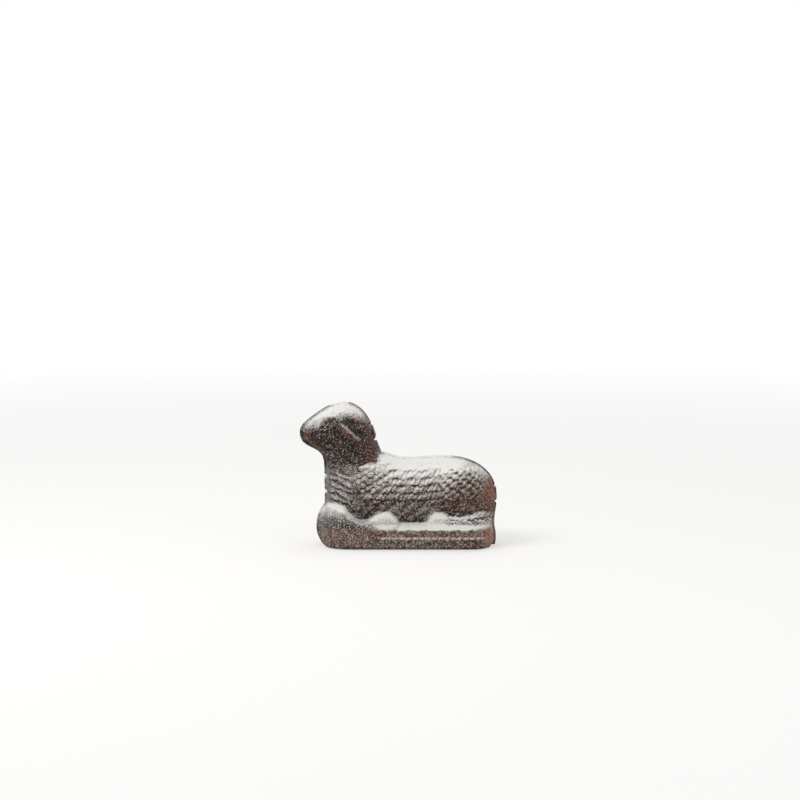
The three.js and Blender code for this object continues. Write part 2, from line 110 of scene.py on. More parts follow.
# Lines, each with its two ends
BROW = ((-90, 141), (-79, 141.5))
EAR = ((-71.5, 130), (-55, 113.5))
EAR_EDGE = ((-69.5, 132.5), (-52, 117))
EAR_FRONT_HOLLOW = ((-78, 126), (-63, 108))
EAR_BACK_HOLLOW = ((-63, 137), (-47, 120))
HIND_LEG_FOLDS = (((47, 33), (58, 32)), ((66, 34.5), (80, 33)), ((76, 29), (90, 30.5)))

# Fleece

FLANK_TOP = 83.8
FLANK_LEAN = 0.45
FLANK_UPTURN_X = 14
FLANK_UPTURN_REACH = 40
FLANK_UPTURN = 0.006
HAUNCH_TURN = 9
HAUNCH_PITCH_ROWS = 2.5
HAUNCH_LEAN = 0.35
HAUNCH_BACK_X = 80
HAUNCH_FULL_DEPTH = 37
HAUNCH_WRAP_SHARE = 0.8
SHOULDER_TURN = -35
SHOULDER_PITCH_WIDTHS = 1.3
SHOULDER_ROW_WIDTHS = 1.35
CHEST_TOP_Z = 92
CHEST_FRONT_X = -80
CHEST_DROP = 0.34
CHEST_DROP_BEND = 0.004
STRAND_STRETCH = 0.45
STRAND_PITCH_WIDTHS = 2.0
STRAND_ROW_WIDTHS = 1.4
# Upper edge of the fleece behind the neck, along and up
FLEECE_TOP = ((-30, -8), (97, 86))
# A tuft's half width, and its reach up and down, as shares of a curl's width or a row
FLANK_LOBE_SHARES = (0.6, 0.8, 0.36)
HAUNCH_LOBE_SHARES = (0.98, 1.3, 0.72)
SHOULDER_LOBE_SHARES = (0.7, 1.2, 0.6)
# How strongly each patch stands out, is parted and is crested
FLEECE_SHARES = {
    "flank": (1.0, 1.0, 0.7),
    "haunch": (1.1, 0.8, 1.0),
    "shoulder": (0.9, 1.0, 0.6),
    "chest": (0.9, 0.6, 1.7),
}

# Carving of the face, the legs and the base

# Lines with their half width and height
CARVED_LINES = (
    (EAR, 3.6, 1.4),
    (EAR_FRONT_HOLLOW, 2.6, -1.4),
    (EAR_BACK_HOLLOW, 2.4, -1.8),
    (BROW, 2.2, 0.9),
) + tuple((fold, 1.1, -0.6) for fold in HIND_LEG_FOLDS)
# Ovals with the shares at which they are full and end, and their height
CARVED_OVALS = ((EYE, 0.2, 1.1, -1.0), (LEG_HOLLOW, 0.3, 1.1, -0.5))
CREASE_DEPTH = 0.6
GROOVE_Z = 27.6
GROOVE_DEPTH = 0.9
GROOVE_WIDTH = 1.3
STEP_TOP = 8.8
STEP_DEPTH = 0.5
BEAD_Z = 9.8
BEAD_RISE = 0.3
BEAD_WIDTH = 1.1

# Powder

# How much lies on a form, by how far it faces up
FACING_UP_SHARES = (-0.8, -0.4, 0.0, 0.2, 0.45, 0.7)
COVER_SHARES = (0.04, 0.08, 0.2, 0.33, 0.6, 1.0)
# Lower edge of the powder on the head, along and up
HEAD_POWDER = (
    (-118, -103, -96, -92, -85, -75, -68, -58, -45, -38, -32),
    (131, 130, 131, 138.5, 142, 143.5, 146.5, 146.5, 141, 132, 118),
)
# Ovals with the shares at which they are full and end, and the share of powder left off there to paint shade
SHADE_PAINTED_SIDES = ((CHEST_TOP, 0.6, 1.1, 0.6), (HOCK_HOLLOW, 0.5, 1.2, 0.4), (RUMP_SIDE, 0.5, 1.2, 0.55))
SHADE_PAINTED_PLACES = ((KNEE_HOLLOW, 0.5, 1.1, 0.4), (RUMP_TOP, 0.5, 1.1, 0.3), (BRIDGE, 0.6, 1.1, 0.2))
# The same, with how strongly powder is caught there
CATCHING_PLACES = ((ELBOW, 0.5, 1.1, 1.0), (STIFLE, 0.5, 1.1, 1.4), (KNEE, 0.4, 1.1, 0.6))
# Lines with their half width, and the share of powder that is added there
POWDERED_LINES = ((EAR, 3.6, 0.1), (EAR_EDGE, 1.7, 0.42))
# How much a tilt of the relief counts, and how much more it counts from the haunch on
TILT_SHARE = 1.15
HAUNCH_TILT_SHARE = 0.85
# Tilts of the skin grid that don't count
GRID_TILT = 0.04
CREST_SHARE = 0.17
BELLY_SHARE = 0.06
CAUGHT_SHARE = 0.42
LEDGE_SHARE = 0.5
HIND_FOOT_SHARE = 0.22
# Shares of powder that are missing
# Less powder between curls and in the hind leg's creases paints shade there
PARTING_SHADE_BARE_SHARE = 0.55
CREASE_SHADE_BARE_SHARE = 0.5
BARE_HEAD_SHARE = 0.88
BARE_HEAD_LOSS = 0.1
BARE_SHOULDER_SHARE = 0.18
# Share of powder left off the rim, painting a dark shade line along the outline
RIM_SHADE_SHARE = 0.85
BARE_END_SHARE = 0.85
# Share of powder that stays on the rim at the base and on the breast
LOW_RIM_SHARE = 0.6
# A place on the slanting front edge of the shoulder's top, and the way across that edge
SHOULDER_EDGE = (-28.5, 101.7)
SHOULDER_EDGE_ACROSS = (0.78, 0.62)
# Upper edge of the base's face, along and up
FACE_TOP = ((-100, -62, -44, -32), (27, 24, 20, 17))
STEP_POWDER_Z = 8.6
STEP_POWDER_WIDTH = 1.1
STEP_POWDER_SHARE = 0.8
CAVITY_COVER = -0.5
MOST_COVER = 1.05

# Seasoning, with painted edge light and painted shade

# Height of relief that would wear the seasoning right through, and the least and most that relief counts
WORN_RELIEF = 4 * MM
WORN_RELIEF_SHARES = (-0.25, 0.22)
# Worn brown on the base, and painted warm edge light at the rump, the nape and the nose
WEAR_AND_EDGE_LIGHT_SHARES = {"rump": 0.65, "nape": 0.2, "nose": 0.4, "base": 0.3}
# Painted shade: darker iron in the partings between curls and under the head
PARTING_SHADE_SHARE = 0.3
HEAD_SHADE_SHARE = 0.04

# Skin that stays as cast

LUG_REACH = 20 * MM
BAIL_REACH = 12 * MM
LATCH_HALF_LENGTH = 14 * MM
LATCH_HALF_HEIGHT = 12 * MM
FOOT_STEM_DEPTH = 36 * MM

# Textures, in cells or waves to the metre

PATCH_SCALE = 85
DRIFT_SCALE = 260
GRAIN_SCALE = 1550
CLUMP_SCALE = 1000
SAND_SCALE = 1500
STREAK_SCALE = 700
# How much of the powder's look its grains give, with a film for the rest
GRAIN_SHARE = 0.55

# Studio

FLOOR_SIZE = 8
FLOOR_SHADOW_REACH = 0.25
FLOOR_PLAIN_FROM = 2.2
WORLD_STRENGTH = 0.5
# Name, place, watts and width
LAMPS = (
    ("window_left", (-1.0, -0.7, 1.4), 15, 0.8),
    ("fill_right", (1.3, -0.9, 0.7), 3, 0.9),
    ("top_soft", (0.0, 0.4, 1.6), 6, 0.9),
)


class CastingSizes(bpy.types.PropertyGroup):
    """Sizes of the cast surface."""
    voxel: bpy.props.FloatProperty(
        name="Skin grid", description="Spacing of the skin's points", default=1.1 * MM, unit="LENGTH")
    rim_depth: bpy.props.FloatProperty(
        name="Rim depth", description="Thickness of one half's parting rim", default=5 * MM, unit="LENGTH")
    curl_rise: bpy.props.FloatProperty(
        name="Curl rise", description="How far a fleece curl stands out", default=1.8 * MM, unit="LENGTH")
    flank_row: bpy.props.FloatProperty(
        name="Flank rows", description="Distance between its rows", default=7.9 * MM, unit="LENGTH")
    haunch_row: bpy.props.FloatProperty(
        name="Haunch rows", description="Distance between its rows", default=4.05 * MM, unit="LENGTH")
    curl_width: bpy.props.FloatProperty(
        name="Curl width", description="Width of one curl along its row", default=4.9 * MM, unit="LENGTH")


class FinishColours(bpy.types.PropertyGroup):
    """Colours of the finishes, as sRGB hex values."""
    iron_dark: bpy.props.StringProperty(
        name="Iron, dark", description="Seasoned iron in the hollows", default="#1e100a")
    iron_warm: bpy.props.StringProperty(
        name="Iron, warm", description="Seasoned iron on the heights", default="#784832")
    dust: bpy.props.StringProperty(name="Dust", description="Fine pale powder", default="#ebe9e5")
    wire: bpy.props.StringProperty(name="Wire", description="Dulled steel wire", default="#8f8a83")
    dowel: bpy.props.StringProperty(name="Dowel", description="Turned dowel steel", default="#7d7871")
    floor: bpy.props.StringProperty(name="Floor", description="Plain floor", default="#f3f1ee")


# Shader nodes

def linear(hex_value):
    """sRGB hex to a linear RGBA tuple."""
    parts = [int(hex_value[i:i + 2], 16) / 255 for i in (1, 3, 5)]
    return tuple(p / 12.92 if p <= 0.04045 else ((p + 0.055) / 1.055) ** 2.4 for p in parts) + (1.0,)


def node(tree, kind, settings=None, inputs=None, links=None):
    """Adds a shader node, sets its properties and sockets, and links sources into it."""
    made = tree.nodes.new(kind)
    for name, value in (settings or {}).items():
        setattr(made, name, value)
    for name, value in (inputs or {}).items():
        made.inputs[name].default_value = value
    for name, source in (links or {}).items():
        tree.links.new(source, made.inputs[name])
    return made


def combined(tree, operation, first, second, clamp=False):
    """Two sources put through one operation."""
    settings = {"operation": operation, "use_clamp": clamp}
    return node(tree, "ShaderNodeMath", settings, links={0: first, 1: second}).outputs[0]


def scaled(tree, source, factor, offset):
    """A source times a factor, plus an offset."""
    settings = {"operation": "MULTIPLY_ADD"}
    return node(tree, "ShaderNodeMath", settings, {1: factor, 2: offset}, {0: source}).outputs[0]


def mapped(tree, source, low=0.0, high=1.0, to_low=0.0, to_high=1.0):
    """A source from low to high mapped onto another range, and held inside it."""
    limits = {"From Min": low, "From Max": high, "To Min": to_low, "To Max": to_high}
    return node(tree, "ShaderNodeMapRange", inputs=limits, links={"Value": source}).outputs[0]


def noise(tree, place, scale, detail, roughness=0.5):
    """Soft noise about 0.5."""
    settings = {"Scale": scale, "Detail": detail, "Roughness": roughness}
    return node(tree, "ShaderNodeTexNoise", inputs=settings, links={"Vector": place}).outputs["Fac"]


def cell_chance(tree, place, scale, channel):
    """A chance from 0 to 1 for each cell."""
    cells = node(tree, "ShaderNodeTexVoronoi", inputs={"Scale": scale}, links={"Vector": place})
    return node(tree, "ShaderNodeSeparateColor", links={"Color": cells.outputs["Color"]}).outputs[channel]


def colour_mix(tree, share, first, second):
    """Two colours, each a tuple or a source, mixed by a share."""
    mix = node(tree, "ShaderNodeMix", {"data_type": "RGBA"}, links={0: share})
    for socket, colour in ((6, first), (7, second)):
        if isinstance(colour, tuple):
            mix.inputs[socket].default_value = colour
        else:
            tree.links.new(colour, mix.inputs[socket])
    return mix.outputs[2]


def new_material(name):
    material = bpy.data.materials.new(name)
    material.use_nodes = True
    material.node_tree.nodes.clear()
    return material


# Finishes

def powder_share(tree, place):
    """Share of the surface that shows powder: a thin film with grains on it, and single clumps."""
    cover = node(tree, "ShaderNodeAttribute", {"attribute_name": "dust"}).outputs["Fac"]
    drift = scaled(tree, noise(tree, place, DRIFT_SCALE, 3), 0.5, -0.25)
    cover = combined(tree, "ADD", cover, drift)
    # Grains about 0.65 mm across, drawn coarser than they are
    over = combined(tree, "SUBTRACT", cover, cell_chance(tree, place, GRAIN_SCALE, 0))
    grains = mapped(tree, over, -0.12, 0.12)
    film = mapped(tree, cover, low=0.1, to_high=0.8)
    settings = {"data_type": "FLOAT"}
    powder = node(tree, "ShaderNodeMix", settings, {0: GRAIN_SHARE}, {2: film, 3: grains}).outputs[0]
    # Clumps about 1 mm across cling to bare sides, but not in the cavity
    clump = mapped(tree, cell_chance(tree, place, CLUMP_SCALE, 1), 0.91, 0.99, to_high=0.5)
    reached = mapped(tree, cover, -0.35, -0.1)
    return combined(tree, "MAXIMUM", powder, combined(tree, "MULTIPLY", clump, reached))


def seasoned_cast_iron():
    """Sand-cast iron with a baked-on seasoning: fine sandy grain, satin sheen, brown on the heights,
    under a fine pale powder that lies thick on what faces up and speckled on the sides."""
    colours = bpy.context.scene.mould_colours
    material = new_material("seasoned_cast_iron_dusted")
    tree = material.node_tree
    place = node(tree, "ShaderNodeTexCoord").outputs["Object"]
    # Seasoning worn to brown, with painted warm edge light and painted shade, read from the mesh
    wear_and_painted_light = node(tree, "ShaderNodeAttribute", {"attribute_name": "iron_wear_and_painted_light"}).outputs["Fac"]
    # Patches of seasoning about 12 mm wide
    patches = noise(tree, place, PATCH_SCALE, 4, roughness=0.6)
    warm = combined(tree, "ADD", scaled(tree, patches, 0.45, -0.14), wear_and_painted_light, clamp=True)
    iron = colour_mix(tree, warm, linear(colours.iron_dark), linear(colours.iron_warm))
    powder = powder_share(tree, place)
    # Casting sand leaves grains of about 0.5 mm
    sand = noise(tree, place, SAND_SCALE, 3, roughness=0.6)
    bump = node(tree, "ShaderNodeBump", inputs={"Strength": 0.35, "Distance": 0.3 * MM},
                links={"Height": combined(tree, "ADD", sand, powder)})
    shader = node(tree, "ShaderNodeBsdfPrincipled", inputs={"Specular IOR Level": 0.25}, links={
        "Base Color": colour_mix(tree, powder, iron, linear(colours.dust)),
        "Roughness": mapped(tree, powder, to_low=0.58, to_high=0.95),
        "Metallic": mapped(tree, powder, to_low=0.35, to_high=0.0),
        "Normal": bump.outputs[0]})
    node(tree, "ShaderNodeOutputMaterial", links={"Surface": shader.outputs[0]})


def drawn_steel(name, hex_value, roughness):
    """Drawn or turned steel that has dulled in the kitchen: fine streaks and a soft gloss."""
    tree = new_material(name).node_tree
    place = node(tree, "ShaderNodeTexCoord").outputs["Object"]
    streaks = noise(tree, place, STREAK_SCALE, 3)
    tint = linear(hex_value)
    dark = tuple(0.55 * c for c in tint[:3]) + (1.0,)
    bump = node(tree, "ShaderNodeBump", inputs={"Strength": 0.2, "Distance": 0.08 * MM},
                links={"Height": streaks})
    shader = node(tree, "ShaderNodeBsdfPrincipled", inputs={"Metallic": 1.0}, links={
        "Base Color": colour_mix(tree, streaks, dark, tint),
        "Roughness": mapped(tree, streaks, to_low=roughness - 0.08, to_high=roughness + 0.14),
        "Normal": bump.outputs[0]})
    node(tree, "ShaderNodeOutputMaterial", links={"Surface": shader.outputs[0]})


# Pieces and their points

def deselect_all():
    if bpy.context.object and bpy.context.object.mode != "OBJECT":
        bpy.ops.object.mode_set(mode="OBJECT")
    bpy.ops.object.select_all(action="DESELECT")


def copy_of(node_name, piece_name):
    """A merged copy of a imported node, selected and active."""
    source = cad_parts[node_name]
    piece = source.copy()
    piece.data = source.data.copy()
    piece.name = piece.data.name = piece_name
    piece.parent = None
    for key in list(piece.keys()):
        del piece[key]
    piece.data.materials.clear()
    bpy.context.scene.collection.objects.link(piece)
    deselect_all()
    piece.select_set(True)
    bpy.context.view_layer.objects.active = piece
    bpy.ops.object.mode_set(mode="EDIT")
    bpy.ops.mesh.select_all(action="SELECT")
    bpy.ops.mesh.remove_doubles(threshold=0.02 * MM)
    bpy.ops.mesh.normals_make_consistent(inside=False)
    bpy.ops.object.mode_set(mode="OBJECT")
    return piece


def applied(piece, kind, **settings):
    """Adds a modifier and applies it."""
    modifier = piece.modifiers.new(kind.lower(), kind)
    for name, value in settings.items():
        setattr(modifier, name, value)
    bpy.context.view_layer.objects.active = piece
    bpy.ops.object.modifier_apply(modifier=modifier.name)


def points_of(piece):
    values = np.empty(len(piece.data.vertices) * 3)
    piece.data.vertices.foreach_get("co", values)
    return values.reshape(-1, 3)


def set_points(piece, points):
    piece.data.vertices.foreach_set("co", points.reshape(-1))
    piece.data.update()


def normals_of(piece):
    values = np.empty(len(piece.data.vertices) * 3)
    piece.data.vertex_normals.foreach_get("vector", values)
    return values.reshape(-1, 3)


def edges_of(piece):
    values = np.empty(len(piece.data.edges) * 2, dtype=np.int32)
    piece.data.edges.foreach_get("vertices", values)
    return values.reshape(-1, 2)


def set_attribute(piece, name, values):
    attribute = piece.data.attributes.new(name, "FLOAT", "POINT")
    attribute.data.foreach_set("value", values.astype(np.float32))


def give_finish(piece, material_name):
    piece.data.materials.append(bpy.data.materials[material_name])


def smoothed(values, edges, rounds, share=0.6, mask=1):
    """Values at the points after some rounds of averaging with their neighbours."""
    count = len(values)
    degree = np.bincount(edges.reshape(-1), minlength=count).clip(1)
    result = values.copy()
    for _ in range(rounds):
        for axis in range(result.shape[1]):
            column = result[:, axis]
            total = (np.bincount(edges[:, 0], column[edges[:, 1]], count)
                     + np.bincount(edges[:, 1], column[edges[:, 0]], count))
            result[:, axis] = column + share * mask * (total / degree - column)
    return result


def evened(points, edges, rounds, mask=1):
    """Points with facets shorter than about 10 mm smoothed away and the forms kept at their size."""
    for _ in range(rounds):
        points = smoothed(points, edges, 1, 0.6, mask)
        points = smoothed(points, edges, 1, -0.63, mask)
    return points


# Measures on the side view

def at(x_mm, z_mm):
    """A place on the side view, in the parting plane."""
    return np.array([BASE_X + x_mm * MM, PARTING_Y, z_mm * MM])


def side_view(points):
    """Millimetres along and up the side view, as the photograph's camera sees the near flank."""
    x, y, z = points.T
    return (x - BASE_X) / MM, (z - math.tan(CAMERA_TILT) * np.abs(y - PARTING_Y)) / MM


def off_skeleton(points):
    """Vectors from the lamb's middle lines to the points."""
    best = np.full(len(points), np.inf)
    vectors = np.zeros_like(points)
    for start, end in SKELETON:
        a = at(*start)
        run = at(*end) - a
        t = np.clip((points - a) @ run / (run @ run), 0, 1)
        away = points - (a + t[:, None] * run)
        distance = np.linalg.norm(away, axis=1)
        closer = distance < best
        best[closer] = distance[closer]
        vectors[closer] = away[closer]
    return vectors


def faces_out(points, normals):
    """True where the normals point away from the lamb's middle lines."""
    return np.einsum("ij,ij->i", off_skeleton(points), normals) > 0


def ramp(value, low, high):
    """0 below low, 1 above high, smooth between."""
    t = np.clip((value - low) / (high - low), 0, 1)
    return t * t * (3 - 2 * t)


def window(value, low, high, soft):
    """1 between low and high, 0 outside, with soft edges."""
    return ramp(value, low - soft, low + soft) * (1 - ramp(value, high - soft, high + soft))


def bell(value, centre, width):
    """1 at the centre, fading out over a width."""
    return np.exp(-((value - centre) / width) ** 2)


def oval(x, z, centre, size):
    """Distance from a centre in the side view, 1 at the oval's edge."""
    return np.hypot((x - centre[0]) / size[0], (z - centre[1]) / size[1])


def within(x, z, place, full, end):
    """1 in an oval place, fading out between two shares of its size, full and end."""
    return 1 - ramp(oval(x, z, *place), full, end)


def ridge(x, z, line, width):
    """1 on a line in the side view, fading out over a width."""
    start, end = line
    run = np.array([end[0] - start[0], end[1] - start[1]])
    t = np.clip(((x - start[0]) * run[0] + (z - start[1]) * run[1]) / (run @ run), 0, 1)
    return bell(np.hypot(x - start[0] - t * run[0], z - start[1] - t * run[1]), 0, width)


def turned(x, z, degrees):
    """Places along and down rows that are turned up to the right."""
    turn = math.radians(degrees)
    return x * math.cos(turn) + z * math.sin(turn), x * math.sin(turn) - z * math.cos(turn)


# Fleece

def strands(along, down, width, row):
    """Height from 0 to 1 of long waved strands that lie over each other like shingles."""
    level = down / row
    height = np.zeros(len(level))
    for overlap in (0, 1):
        row_number = np.floor(level) - overlap
        fall = level - row_number
        across = along / width - (row_number % 2) / 2
        across = across - np.round(across)
        edge = 1 + 0.1 * np.cos(2 * np.pi * across)
        lobe = 0.8 + 0.2 * np.cos(2 * np.pi * across)
        lie = np.clip(fall / edge, 0, 1) ** 1.3 * lobe * ramp(edge - fall, 0, 0.22)
        height = np.maximum(height, lie)
    return height


def tufts(along, down, pitch, row, lobe):
    """Height from 0 to 1 of staggered tufts. A lobe is a tuft's half width, and its reach up and down."""
    half_width, reach_up, reach_down = lobe
    height = np.zeros(len(along))
    nearest = np.round(down / row)
    for step in (-1, 0, 1, 2):
        row_number = nearest + step
        fall = down - row_number * row
        across = along / pitch - (row_number % 2) / 2
        across = (across - np.round(across)) * pitch
        reach = np.where(fall < 0, reach_up, reach_down)
        height = np.maximum(height, 1 - (across / half_width) ** 2 - (fall / reach) ** 2)
    return np.maximum(height, 0) ** 0.6


def wavering(x, z):
    """Millimetres by which hand-cut rows stray from straight, slowly and with a ripple."""
    wander = 0.5 * np.sin(x * 0.31) + 0.4 * np.sin(z * 0.5 + x * 0.13)
    return wander, wander + 0.55 * np.sin(x * 0.83 + z * 0.37)


def flank_tufts(x, z, width, row):
    """Rows of tufts that slant up towards the rump. The rows turn up before the haunch."""
    wander, ripple = wavering(x, z)
    upturn = FLANK_UPTURN * np.clip(x - FLANK_UPTURN_X, 0, FLANK_UPTURN_REACH) ** 2
    wide, up, down = FLANK_LOBE_SHARES
    return tufts(x - FLANK_LEAN * z + wander, FLANK_TOP - z + upturn + 0.8 * ripple, width, row,
                 (wide * width, up * row, down * row))


def haunch_tufts(x, z, depth, row):
    """Finer rows that rise a little behind and run on round the rump."""
    wander, ripple = wavering(x, z)
    round_rump = HAUNCH_WRAP_SHARE * (HAUNCH_FULL_DEPTH - depth) * ramp(x, 50, 75)
    along, down = turned(x + round_rump + wander, z + 0.4 * wander, HAUNCH_TURN)
    lobe = [share * row for share in HAUNCH_LOBE_SHARES]
    along = along + HAUNCH_LEAN * down + 0.5 * ripple
    return tufts(along, down + 0.3 * ripple, HAUNCH_PITCH_ROWS * row, row, lobe)


def shoulder_tufts(x, z, width):
    """Rows that fall away behind."""
    wander, _ = wavering(x, z)
    along, down = turned(x, z, SHOULDER_TURN)
    lobe = [share * width for share in SHOULDER_LOBE_SHARES]
    return tufts(along, down + wander, SHOULDER_PITCH_WIDTHS * width, SHOULDER_ROW_WIDTHS * width, lobe)


def chest_strands(x, z, width):
    """Long strands that drop behind more and more."""
    _, ripple = wavering(x, z)
    behind = x - CHEST_FRONT_X
    down = CHEST_TOP_Z - z - (CHEST_DROP * behind + CHEST_DROP_BEND * behind ** 2) + 0.8 * ripple
    along = STRAND_STRETCH * x + 0.6 * ripple
    return strands(along, down, STRAND_PITCH_WIDTHS * width, STRAND_ROW_WIDTHS * width)


def fleece_patches(x, z):
    """Where the flank, the haunch, the shoulder and the chest have their own fleece, each from 0 to 1."""
    haunch = within(np.minimum(x, HAUNCH_BACK_X), z, HAUNCH, 0.9, 1.05)
    shoulder = within(x, z, SHOULDER, 0.8, 1.1)
    chest = window(x, -84, -60, 3) * window(z + 0.3 * (x - CHEST_FRONT_X), 46, 88, 4)
    flank = window(x, -50, 40, 3) * (1 - haunch) * (1 - shoulder)
    # It runs out above the belly and in front of the hock, and below the smooth back
    above_belly = ramp(z, 43, 55)
    before_hock = (1 - ramp(z, 43, 53)) * (1 - ramp(x, 48, 62))
    body = ramp(z, 34, 42) * (1 - ramp(z - np.interp(x, *FLEECE_TOP), -4, 4))
    return {
        "flank": flank * above_belly * body,
        "haunch": haunch * (1 - before_hock) * body,
        "shoulder": shoulder * (1 - chest) * body,
        "chest": chest,
    }


def fleece(points, sizes):
    """How far the fleece stands out, as a share of the curl's rise, and its partings and crests."""
    x, z = side_view(points)
    depth = np.abs(points[:, 1] - PARTING_Y) / MM
    width = sizes.curl_width / MM
    heights = {
        "flank": flank_tufts(x, z, width, sizes.flank_row / MM),
        "haunch": haunch_tufts(x, z, depth, sizes.haunch_row / MM),
        "shoulder": shoulder_tufts(x, z, width),
        "chest": chest_strands(x, z, width),
    }
    rise, partings, crests = np.zeros((3, len(points)))
    for name, patch in fleece_patches(x, z).items():
        rise_share, parting_share, crest_share = FLEECE_SHARES[name]
        rise += rise_share * heights[name] * patch
        partings += parting_share * (1 - heights[name]) * patch
        crests += crest_share * heights[name] * patch
    return rise, partings, crests


# Face, legs and base

def creases(x, z):
    """1 in the short creases of the folded hind leg."""
    pattern = np.sin(x * 1.1 + 0.9 * np.sin(z * 0.9)) * np.sin(z * 1.5 + 0.8 * np.sin(x * 0.5))
    return ramp(pattern, 0.15, 0.75) * window(x, 44, 95, 5) * window(z, 22, 38, 2)


def hind_groove(x, z):
    """1 in the groove between the folded hind leg and the base, waved as cut by hand."""
    wave = GROOVE_Z + 0.9 * np.sin(x * 0.42) + 0.5 * np.sin(x * 0.83 + 1) + 0.04 * (x - 60)
    return bell(z, wave, GROOVE_WIDTH) * window(x, 41, 96, 4) * (0.6 + 0.4 * np.sin(x * 0.38 + 1))


def carving(points):
    """Carved lines and modelled features of the face, the legs and the base, in millimetres outwards."""
    x, z = side_view(points)
    rise = -GROOVE_DEPTH * hind_groove(x, z) - CREASE_DEPTH * creases(x, z)
    for line, width, height in CARVED_LINES:
        rise += height * ridge(x, z, line, width)
    for place, full, end, height in CARVED_OVALS:
        rise += height * within(x, z, place, full, end)
    # Step along the base, with a bead over it
    rise -= STEP_DEPTH * window(z, 0, STEP_TOP, 0.6) * window(x, -40, 92, 4)
    rise += BEAD_RISE * bell(z, BEAD_Z, BEAD_WIDTH) * window(x, -30, 88, 6)
    return rise


# Powder and seasoning

def rim_shade_line(points, sizes):
    """1 on the rim over the nose, down the nape and over the rump, where powder is left off to paint a dark
    line of shade along the outline.
    """
    x, z = side_view(points)
    depth = np.abs(points[:, 1] - PARTING_Y)
    on_rim = 1 - ramp(depth, sizes.rim_depth - 1.5 * MM, sizes.rim_depth + 0.8 * MM)
    on_head = window(x, -84, -64, 3) * ramp(z, 144.5, 150.5)
    on_back = window(x, -26, 52, 6) * ramp(z, 88.5, 92.5)
    at_base = 1 - ramp(z, 40, 50)
    on_breast = (1 - ramp(x, -70, -60)) * window(z, 45, 104, 5)
    lies = np.max([on_head, on_back, LOW_RIM_SHARE * (at_base + on_breast)], axis=0)
    return on_rim * (1 - lies)


def under_the_head(x, z):
    """1 below the powder on the head and down the neck."""
    below = 1 - ramp(z - np.interp(x, *HEAD_POWDER), -12, 5)
    return below * ramp(z, 86, 94) * (1 - ramp(x, -36, -28))


def shoulder_top(x, z):
    """1 on the top of the shoulder, behind the neck."""
    across = (SHOULDER_EDGE_ACROSS[0] * (x - SHOULDER_EDGE[0])
              + SHOULDER_EDGE_ACROSS[1] * (z - SHOULDER_EDGE[1]))
    return (1 - ramp(across, -8, 3)) * window(x, -64, 2, 5) * window(z, 76, 104, 4)


def lying_powder(x, coarse, fine, partings, crests):
    """Powder by how far the form and its relief face up, and more on the curls' crests; less between curls,
    which paints shade under them.
    """
    lie = coarse[:, 2]
    cover = np.interp(lie, FACING_UP_SHARES, COVER_SHARES)
    tilt = fine[:, 2] - lie
    tilt = tilt - np.clip(tilt, -GRID_TILT, GRID_TILT)
    cover = cover + (TILT_SHARE + HAUNCH_TILT_SHARE * ramp(x, 38, 50)) * tilt
    return cover * (1 - PARTING_SHADE_BARE_SHARE * partings * (1 - ramp(lie, 0.6, 0.85))) + CREST_SHARE * crests


def caught_powder(x, z):
    """Powder caught on the knee, the elbow, the stifle, the hind foot and the ledge between them."""
    caught = np.max([strength * within(x, z, place, full, end)
                     for place, full, end, strength in CATCHING_PLACES], axis=0)
    ledge = window(x, -34, 72, 8) * window(z, 17.5, 23.5, 1)
    hind_foot = window(x, 48, 94, 5) * window(z, 20, 36, 2)
    gained = CAUGHT_SHARE * caught + LEDGE_SHARE * ledge + HIND_FOOT_SHARE * hind_foot
    # Painted shade: less powder in the hind leg's creases
    return gained - CREASE_SHADE_BARE_SHARE * creases(x, z)


def powder_on_face(x, z, cover):
    """Cover with the base's upright face nearly bare, but for a line of powder on its step."""
    broken = 0.75 + 0.25 * np.sin(x * 0.9)
    step = bell(z, STEP_POWDER_Z, STEP_POWDER_WIDTH) * window(x, -30, 86, 6) * broken
    top = np.interp(x, *FACE_TOP) + 0.8 * np.sin(x * 0.37) + 0.5 * np.sin(x * 0.91)
    softness = np.interp(x, [-62, -36], [5, 1.9])
    face = 1 - ramp((z - top) / softness, -1, 1)
    speckled = np.clip(cover, 0.09, 0.15) - 0.03 * ramp(x, 20, 60)
    return cover * (1 - face) + (speckled + STEP_POWDER_SHARE * step) * face


def dust_cover(points, coarse, fine, outside, partings, crests, sizes):
    """Share of the surface that powder falling from above has covered."""
    x, z = side_view(points)
    cover = lying_powder(x, coarse, fine, partings, crests)
    # Less on some sides to paint shade there, and less under the head and at the rump's end
    side = 1 - ramp(coarse[:, 2], 0.5, 0.8)
    for place, full, end, share in SHADE_PAINTED_SIDES:
        cover = cover * (1 - share * within(x, z, place, full, end) * side)
    under_head = under_the_head(x, z)
    cover = cover * (1 - BARE_HEAD_SHARE * under_head) - BARE_HEAD_LOSS * under_head
    rump_end = ramp(x, 80, 92) * window(z, 38, 84, 5) * side
    cover = cover * (1 - BARE_END_SHARE * rump_end)
    cover = cover + BELLY_SHARE * within(x, z, BELLY, 0.5, 1.2)
    cover = cover * (1 - BARE_SHOULDER_SHARE * shoulder_top(x, z))
    # Painted shade: less powder in the knee hollow, on the rump's top and on the nose bridge
    for place, full, end, share in SHADE_PAINTED_PLACES:
        cover = cover * (1 - share * within(x, z, place, full, end))
    for line, width, share in POWDERED_LINES:
        cover = cover + share * ridge(x, z, line, width)
    cover = powder_on_face(x, z, cover + caught_powder(x, z))
    # Painted shade: a bare dark line along the rim's outline
    cover = cover * (1 - RIM_SHADE_SHARE * rim_shade_line(points, sizes))
    return np.where(outside, np.clip(cover, 0, MOST_COVER), CAVITY_COVER)


